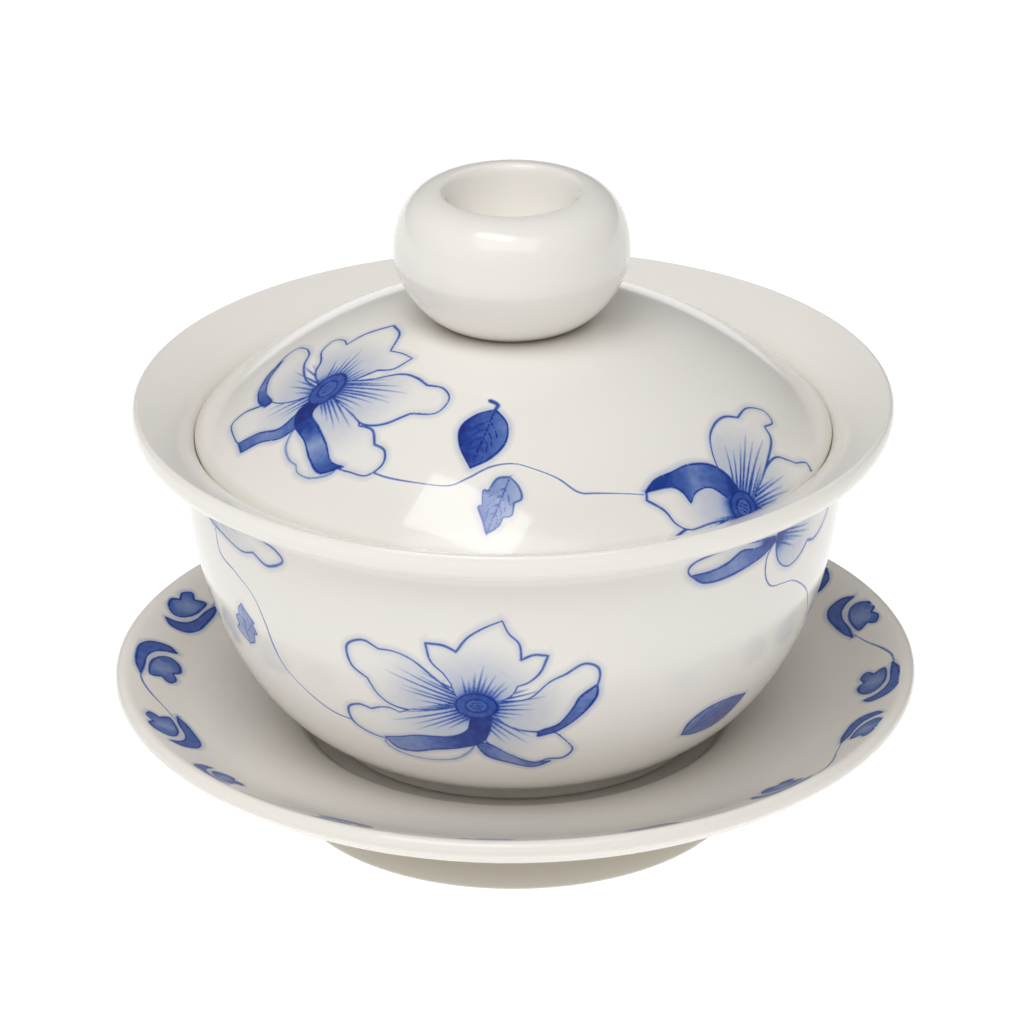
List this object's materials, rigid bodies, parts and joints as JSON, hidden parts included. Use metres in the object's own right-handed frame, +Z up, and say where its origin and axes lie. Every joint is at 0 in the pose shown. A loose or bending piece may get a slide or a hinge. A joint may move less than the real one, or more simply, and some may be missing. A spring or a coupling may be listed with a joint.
{
  "type": "gaiwan",
  "caption": "Lidded porcelain tea bowl with a domed lid and dished ring knob, standing in the well of a footed saucer, with a blue floral underglaze pattern.",
  "frame": {"origin": "on the table at the centre of the saucer's foot ring", "axes": "+Z up along the common axis of saucer, bowl and lid; -Y towards the person it is set in front of"},
  "size_m": [0.107, 0.107, 0.0866],
  "materials": {
    "saucer_glaze": "glossy clear glaze over white porcelain with cobalt scrolls",
    "bowl_glaze": "glossy clear glaze over white porcelain with cobalt flowers",
    "lid_glaze": "glossy clear glaze over white porcelain with cobalt flowers",
    "knob_glaze": "glossy clear glaze over white porcelain"
  },
  "bodies": {
    "saucer": {"saucer": "saucer_glaze"},
    "bowl": {"bowl": "bowl_glaze"},
    "lid": {"lid": "lid_glaze", "lid_knob": "knob_glaze"}
  },
  "joints": [
    {"name": "bowl_lift", "type": "slide", "parent": "saucer", "child": "bowl", "axis": [0, 0, 1], "range_m": [0, 0.05]},
    {"name": "lid_lift", "type": "slide", "parent": "bowl", "child": "lid", "axis": [0, 0, 1], "range_m": [0, 0.05]}
  ]
}
